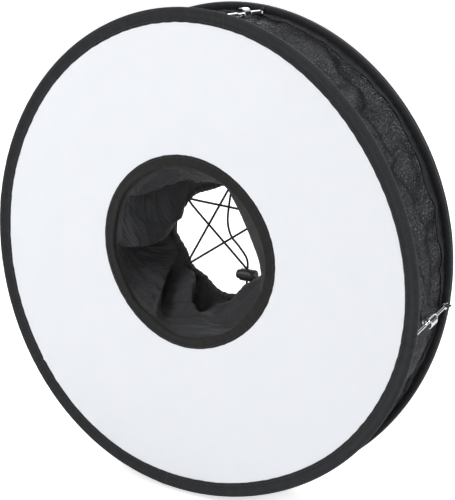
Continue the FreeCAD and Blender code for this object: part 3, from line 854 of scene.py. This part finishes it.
def build_trim():
    """Tape folded over the light wire round the lens hole."""
    section = [(0.0, 0.45), (-0.3, 0.85), (-3.0, 0.95), (-6.0, 0.95), (-8.0, 1.5), (-9.6, 1.9),
               (-10.8, 1.2)]
    inner_edge = (-TRIM_WIDTH - 0.3, 0.0)
    profile = [(r, -h) for r, h in section] + [inner_edge] + [(r, h) for r, h in section[::-1]]
    trim = ring_piece("hole_trim_tape", profile, hole_edge, HOLE, FRONT_Y, 720, ripple=trim_ripple())
    dress(trim, "trim", "front_frame", "front_hole_trim")
    sew_ring("hole_trim_stitches", hole_edge, HOLE, FRONT_Y - 0.98, -1, 2.2, "front_frame")
    wire = ring_piece("hole_spring_wire", circle(1.0, 10), lambda p: hole_edge(p) - 8.9, HOLE, FRONT_Y)
    dress(wire, "steel", "front_frame", "hole_wire")


def trim_ripple():
    slow = Wobble(6, 3, 12, whole_turns=True)
    fine = Wobble(10, 30, 90, whole_turns=True)

    def ripple(phi, out, along):
        inner = np.clip(-out / TRIM_WIDTH, 0, 1)
        return inner * (0.5 * slow(phi) + 0.08 * fine(phi)), 0.08 * fine(phi + 2.0) * np.sign(along)

    return ripple


def build_cuff():
    """Hem round the lens opening: gathered cloth, with the cord laced through it."""
    gathers = Wobble(16, 26, 64, whole_turns=True)
    skirt = [(16.0, 9.2), (16.0, 9.8), (8.0, 9.8), (4.5, 6.0), (1.5, 3.2), (-1.6, 3.0), (-3.4, 0.6),
             (-2.8, -2.0), (-0.5, -3.4), (2.2, -2.6), (3.4, 0.2), (5.0, 4.4), (8.8, 9.1)]

    def ripple(phi, out, along):
        hem = np.clip(1 - out / 9.0, 0, 1)
        return hem * (0.2 * gathers(phi) + hem_edge(phi) - CUFF_R), 0.35 * hem * gathers(phi + 0.4)

    cuff = ring_piece("lens_cuff_cloth", skirt, even(CUFF_R), HOLE, CUFF_Y, 900, ripple=ripple)
    refine(cuff, 1)
    dress(cuff, "sleeve", "rear_frame", "lens_cuff")
    band = [(-1.5, 0.0), (0.0, -0.1), (8.6, -0.1), (9.0, 0.3), (8.6, 0.9), (4.0, 1.05), (0.0, 0.9)]
    ring = ring_piece("rear_hole_tape", band, even(SLEEVE_REAR_R - 1.0), HOLE,
                      REAR_Y + 1.3, 600, ripple=tape_ripple())
    dress(ring, "trim", "rear_frame", "rear_hole_trim")
    for k, inset in enumerate((-1.6, -6.4)):
        sew_ring(f"rear_hole_stitches_{k + 1}", even(SLEEVE_REAR_R), HOLE, REAR_Y + 2.32, 1, inset,
                 "rear_frame")


# ---- laced cord ----

CORD_R = 1.1
LEVEL = 2.3  # between the layers of cord where they cross
# Angles of the eyelets round the lens opening
EYELETS = {"top": 83.0, "upper_left": 142.0, "lower_left": 215.0, "lower_right": -44.0, "right": 31.0}


def eyelet(name):
    return np.array([HOLE[0], CUFF_Y, HOLE[2]]) + CUFF_R * spoke(EYELETS[name])[0]


def build_cord():
    """Elastic cord laced from eyelet to eyelet, with a slack run down to the lock."""
    runs = [("top", "lower_left", 0), ("lower_left", "right", 0), ("right", "upper_left", -1),
            ("upper_left", "lower_right", -1)]
    body = "rear_frame"
    for k, (a, b, level) in enumerate(runs):
        start, end = eyelet(a), eyelet(b)
        lift = np.array([0, level * LEVEL, 0])
        path = smooth_path([start, start + 0.12 * (end - start) + lift, (start + end) / 2 + lift,
                            end + 0.12 * (start - end) + lift, end], 14)
        piece = tube(f"lens_cord_run_{k + 1}", path, CORD_R)
        replaced = ["lens_drawcord"] if k == 0 else []
        dress(piece, "braid", body, *replaced)
    lock = middle("cord_lock_body")
    y = CUFF_Y + LEVEL
    x = lock[0] - 2.0
    slack = [eyelet("top"), (3, y, 43), (0, y, 18), (4, y, 3), (13, y, -6), (x, lock[1], -19),
             (x, lock[1], lock[2]), (x, lock[1], lock[2] - 10), (x + 3, lock[1], lock[2] - 14)]
    dress(tube("lens_cord_slack", smooth_path(slack, 14), CORD_R), "braid", body)
    a = np.linspace(0, TAU * 0.95, 30)
    knot = np.stack([np.sin(2 * a) + 0.3 * np.sin(a), 0.8 * np.cos(3 * a), 1.3 * np.cos(a)], 1)
    dress(tube("lens_cord_knot", np.array(slack[-1]) + 1.5 * knot, CORD_R), "braid", body)
    for name in EYELETS:
        outward, sideways = spoke(EYELETS[name])
        centre = eyelet(name) - 3.3 * outward
        ring = [centre + 1.7 * (math.cos(b) * sideways + np.array([0, math.sin(b), 0]))
                for b in angles(25, closed=False)]
        dress(tube(f"eyelet_{name}", ring, 0.5, 8), "thread", body)


SPRING_TURNS = 4
SPRING_WIRE_R = 0.35


def build_lock_spring():
    """Coil between the plunger and the lock's closed end. The real one shortens as the plunger is pressed;
    this one keeps the CAD spring's length.
    """
    low, high = box_mm("cord_lock_spring")
    centre, length = (low + high) / 2, high[0] - low[0]
    coil_r = (high[2] - low[2]) / 2 - SPRING_WIRE_R
    a = np.linspace(0, SPRING_TURNS * TAU, 24 * SPRING_TURNS + 1)
    x = np.linspace(low[0] + SPRING_WIRE_R, high[0] - SPRING_WIRE_R, len(a))
    path = np.stack([x, centre[1] + coil_r * np.cos(a), centre[2] + coil_r * np.sin(a)], 1)
    coil = tube("cord_lock_coil", path, SPRING_WIRE_R, 10)
    dress(coil, "steel", "rear_frame", "cord_lock_spring")
    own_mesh(coil)


# ---- struts ----

def strut_frame(degrees):
    """Point on the hoop's axis plane at this angle, with its outward and sideways directions."""
    outward, sideways = spoke(degrees)
    return np.array([RING[0], 0, RING[2]]) + HOOP_R * outward, outward, sideways


def lathe(name, profile, origin, along, outward):
    """Turns a closed (radius, along) profile round the line through origin."""
    sides = 32
    shape = np.array(profile)[None, :, :, None]
    a = angles(sides)[:, None, None]
    across = np.cross(outward, along)
    spoke = np.cos(a) * outward + np.sin(a) * across
    points = origin + shape[:, :, 0] * spoke + shape[:, :, 1] * along
    return grid_object(name, points, np.zeros(sides + 1), np.zeros(len(profile) + 1), True, True)


COLLAR = [(1.8, -0.6), (2.9, -0.6), (3.3, -0.2), (3.3, 0.3), (2.9, 0.7), (1.8, 0.7)]
COLLAR_AT = (21.4, 23.6)  # from the rear pivot, on the neck of the magnet cup


def build_struts():
    for k, degrees in enumerate(STRUT_DEG):
        n = k + 1
        base, outward, sideways = strut_frame(degrees)
        dress_cad("chrome", f"front_rod_{n}", f"rear_rod_{n}", f"magnet_cup_{n}")
        dress_cad("magnet", f"magnet_{n}")
        rear = base + sideways * REAR_SHIFT[k] + (0, REAR_Y - PIVOT_OFFSET, 0)
        front = base + sideways * FRONT_SHIFT[k] + (0, FRONT_Y + PIVOT_OFFSET, 0)
        along = (front - rear) / np.linalg.norm(front - rear)
        for j, distance in enumerate(COLLAR_AT):
            collar = lathe(f"cup_collar_{n}_{j + 1}", COLLAR, rear + distance * along, along, outward)
            dress(collar, "chrome", f"rear_strut_{n}")
        build_pivot_loop("front", k, front_hoop, FRONT_Y, 1, FRONT_SHIFT[k])
        build_pivot_loop("rear", k, rear_hoop, REAR_Y, -1, REAR_SHIFT[k])


def build_pivot_loop(end, k, radius, hoop_y, towards, shift):
    """Cord loop that a rod's eye turns on, with the doubled tape it is sewn into."""
    base, outward, sideways = strut_frame(STRUT_DEG[k])
    reach = 2.7
    pivot = hoop_y + towards * PIVOT_OFFSET
    foot = hoop_y + towards * 1.5
    bend = pivot - towards * 0.8
    path = [base + sideways * shift + outward * s * reach + np.array([0, y, 0])
            for s, y in ((-1, foot), (-1, bend), (-0.75, pivot), (0.75, pivot), (1, bend), (1, foot))]
    loop = tube(f"{end}_strut_loop_{k + 1}", smooth_path(path, 8), 0.95, 10)
    replaced = [f"{end}_strut_loops"] if k == 0 else []
    dress(loop, "braid", f"{end}_frame", *replaced)
    half = 4.5 / HOOP_R
    centre = math.radians(STRUT_DEG[k]) + shift / HOOP_R
    doubled = [(r + (0.12 if r > 2 else 0.0), h + 0.12) for r, h in TAPE_SECTION]
    outline = [(r, -h) for r, h in doubled] + [(r, h) for r, h in doubled[-2::-1]]
    patch = ring_piece(f"{end}_strut_patch_{k + 1}", outline, radius, RING, hoop_y, 12,
                       start=centre - half, sweep=2 * half)
    dress(patch, "tape", f"{end}_frame")


# ---- flash sleeve ----

FLASH_LENGTH = 44.0
FLASH_HALF_X = 40.0
FLASH_HALF_Z = 25.0
STRAP_LAP = 52  # length of the strap's loose end


def flash_ring(y, grow):
    """Outline of the flash sleeve at y, grown outwards, as points."""
    low, high = box_mm("flash_sleeve_hem")
    centre = (low + high) / 2
    taper = 2.0 * (1 - (y - REAR_Y) / FLASH_LENGTH)
    outline = rounded_outline(FLASH_HALF_X + taper + grow, FLASH_HALF_Z + taper + grow,
                              FLASH_CORNER + grow, 16)
    return np.stack([outline[:, 0] + centre[0], np.full(len(outline), y), outline[:, 1] + centre[2]], 1)


def flash_tube(name, stations, finish, ripple=None, replaced=()):
    """Closed tube wall through (y, inner grow, outer grow) stations."""
    loop = [(y, outer) for y, inner, outer in stations]
    loop += [(y, inner) for y, inner, outer in stations[::-1]]
    points = np.array([flash_ring(y, grow) for y, grow in loop])
    centre = points.mean(axis=(0, 1))
    if ripple is not None:
        around = np.arange(points.shape[1]) / points.shape[1] * TAU
        for i, (y, _) in enumerate(loop):
            direction = points[i] - centre
            direction[:, 1] = 0
            direction /= np.linalg.norm(direction, axis=1)[:, None]
            points[i] += direction * ripple(around, y)[:, None]
    v = np.arange(points.shape[1] + 1) * 2.2 * MM
    piece = grid_object(name, points, profile_lengths([(g, y) for y, g in loop]), v, True, True)
    refine(piece, 1)
    return dress(piece, finish, "rear_frame", *replaced)


def build_flash_sleeve():
    end = box_mm("flash_sleeve")[1][1]
    start = end - FLASH_LENGTH
    folds = Wobble(8, 2, 9, whole_turns=True)
    gathers = Wobble(14, 22, 60, whole_turns=True)

    def sag(around, y):
        t = (y - start) / FLASH_LENGTH
        soft = math.sin(math.pi * min(max(t, 0), 1))
        return 0.8 * soft * folds(around, 0.12 * y) + 0.25 * t * gathers(around)

    ys = np.linspace(start, end - 1.0, 14)
    flash_tube("flash_sleeve_cloth", [(y, 0.1, 1.0) for y in ys], "panel", sag, ["flash_sleeve"])
    flange = [(start, -0.5, 6.0), (start + 0.6, -0.5, 6.0)]
    flash_tube("flash_sleeve_flange", flange, "tape")
    hem = [(end - 2.5, -0.2, 1.6), (end - 1.5, -0.5, 2.3), (end + 2.0, -0.7, 2.6), (end + 4.4, -0.5, 2.2),
           (end + 5.0, 0.2, 1.4)]
    flash_tube("flash_sleeve_elastic_hem", hem, "braid",
               lambda around, y: 0.35 * gathers(around), ["flash_sleeve_hem"])
    strap_low, strap_high = box_mm("flash_strap")
    strap = [(strap_low[1], 1.3, 2.5), (strap_low[1] + 1, 1.3, 2.8), (strap_high[1] - 1, 1.3, 2.8),
             (strap_high[1], 1.3, 2.5)]
    flash_tube("flash_strap_band", strap, "fuzz", None, ["flash_strap"])
    build_strap_lap(strap_low, strap_high)
    for k, inset in enumerate((2.0, 4.4)):
        ring = flash_ring(start + 0.9, inset)
        sew(f"flash_flange_stitches_{k + 1}", np.vstack([ring, ring[:1]]), (0, 1, 0))


def build_strap_lap(low, high):
    """The strap's loose end, lying over the top and turned back through the wire loop."""
    ring_low, ring_high = box_mm("strap_ring")
    top = high[2]
    wide = high[1] - low[1]
    y = (low[1] + high[1]) / 2
    x1 = (ring_low[0] + ring_high[0]) / 2
    x0 = x1 - STRAP_LAP
    across = np.linspace(-wide / 2, wide / 2, 9)
    rows = []
    for x in np.linspace(x0, x1 + 3, 28):
        t = (x - x0) / (x1 - x0)
        lift = 0.5 * math.sin(math.pi * min(t, 1)) + (0.9 if t > 0.9 else 0.0) * (t - 0.9) * 10
        rows.append([(x, y + a, top - 0.6 + lift - 0.05 * (a / wide) ** 2) for a in across])
    piece = grid_object("flash_strap_lap", np.array(rows), np.arange(28) * 1.9 * MM,
                        (across - across[0]) * MM)
    refine(piece, 1, 1.3)
    dress(piece, "fuzz", "rear_frame")
    dress_cad("chrome", "strap_ring")
    for k, inset in enumerate((-wide / 2 + 2, wide / 2 - 2)):
        path = [(x, y + inset, top + 0.35) for x in np.linspace(x0 + 4, x0 + 18, 20)]
        sew(f"strap_stitches_{k + 1}", path, (0, 0, 1))


# ---- stage ----

CAMERA_AZIMUTH = 34.0
CAMERA_ELEVATION = 14.0
CAMERA_DISTANCE = 1.4  # to the centre of the front hoop
LENS = 109.3
AIM_RIGHT_DEG = 1.39  # from the centre of the front hoop
AIM_UP_DEG = 0.395
# Soft lights: azimuth, elevation, distance, size, power
LIGHTS = {"key": (-38, 40, 2.2, 1.1, 23), "front": (22, 22, 2.6, 0.7, 9), "right": (98, 34, 2.0, 0.6, 13),
          "top": (70, 70, 2.2, 1.0, 10), "back": (200, 35, 2.4, 1.4, 14)}


def bearing(azimuth, elevation):
    """Direction from the ring to a light or the camera."""
    a, e = math.radians(azimuth), math.radians(elevation)
    return Vector((math.sin(a) * math.cos(e), -math.cos(a) * math.cos(e), math.sin(e)))


def area_light(name, azimuth, elevation, distance, size, power):
    light = bpy.data.lights.new(name, "AREA")
    light.shape = "DISK"
    light.size = size
    light.energy = power
    lamp = bpy.data.objects.new(name, light)
    bpy.context.scene.collection.objects.link(lamp)
    back = bearing(azimuth, elevation)
    lamp.location = back * distance
    lamp.rotation_mode = "QUATERNION"
    lamp.rotation_quaternion = back.to_track_quat("Z", "Y")


def build_stage():
    floor_z = RING[2] - RING_R - 2.0
    half = 9000.0
    floor = make_object("floor", [(-half, -half, floor_z), (half, -half, floor_z), (half, half, floor_z),
                                  (-half, half, floor_z)], [(0, 1, 2, 3)], smooth=False)
    pale = Finish("pale_floor", (0.9, 0.9, 0.905), 0.9, specular=0.1)
    seen = pale.node("ShaderNodeLightPath").outputs["Is Camera Ray"]
    pale.shader.inputs["Emission Color"].default_value = (1, 1, 1, 1)
    pale.links.new(pale.math("MULTIPLY", seen, 0.68), pale.shader.inputs["Emission Strength"])
    floor.data.materials.append(pale.material)

    world = bpy.data.worlds.new("studio")
    world.use_nodes = True
    nodes, links = world.node_tree.nodes, world.node_tree.links
    seen = nodes.new("ShaderNodeLightPath")
    fill = nodes["Background"]
    fill.inputs["Color"].default_value = (0.95, 0.97, 1.0, 1)
    split = nodes.new("ShaderNodeSeparateXYZ")
    links.new(nodes.new("ShaderNodeTexCoord").outputs["Generated"], split.inputs[0])
    flags = last = None
    for operation, value in (("MULTIPLY", 9.0), ("SINE", 0.0), ("MULTIPLY", 0.36), ("ADD", 0.36)):
        last, flags = flags, nodes.new("ShaderNodeMath")
        flags.operation = operation
        flags.inputs[1].default_value = value
        links.new(last.outputs[0] if last else split.outputs[0], flags.inputs[0])
    links.new(flags.outputs[0], fill.inputs["Strength"])
    white = nodes.new("ShaderNodeBackground")
    white.inputs["Color"].default_value = (1, 1, 1, 1)
    white.inputs["Strength"].default_value = 1.1
    mix = nodes.new("ShaderNodeMixShader")
    links.new(seen.outputs["Is Camera Ray"], mix.inputs[0])
    links.new(fill.outputs[0], mix.inputs[1])
    links.new(white.outputs[0], mix.inputs[2])
    links.new(mix.outputs[0], nodes["World Output"].inputs[0])
    bpy.context.scene.world = world

    for name, settings in LIGHTS.items():
        area_light(name, *settings)
    view = bpy.context.scene.view_settings
    view.view_transform = "Standard"
    view.look = "None"


def build_camera():
    """Looks from the right and a little above; the ring sits left of the middle of the picture."""
    back = bearing(CAMERA_AZIMUTH, CAMERA_ELEVATION)
    a = math.radians(CAMERA_AZIMUTH)
    side = Vector((math.cos(a), math.sin(a), 0))
    up = back.cross(side)
    aim = (-back + side * math.tan(math.radians(AIM_RIGHT_DEG))
           + up * math.tan(math.radians(AIM_UP_DEG)))
    aim.normalize()
    right = aim.cross(up).normalized()
    data = bpy.data.cameras.new("camera")
    data.lens = LENS
    camera = bpy.data.objects.new("camera", data)
    bpy.context.scene.collection.objects.link(camera)
    centre = Vector((RING[0], FRONT_Y, RING[2])) * MM
    turn = Matrix((right, right.cross(aim), -aim)).transposed()
    camera.matrix_world = Matrix.Translation(centre + back * CAMERA_DISTANCE) @ turn.to_4x4()
    bpy.context.scene.camera = camera


def build():
    build_hoop("front", front_hoop, FRONT_Y, 1)
    build_hoop("rear", rear_hoop, REAR_Y, -1)
    build_diffuser()
    build_rear_sheets()
    build_wall()
    build_trim()
    build_cuff()
    build_sleeve()
    build_cord()
    dress_cad("plastic", "cord_lock_body", "cord_lock_plunger")
    build_lock_spring()
    build_struts()
    build_flash_sleeve()
    build_stage()
    build_camera()


build()
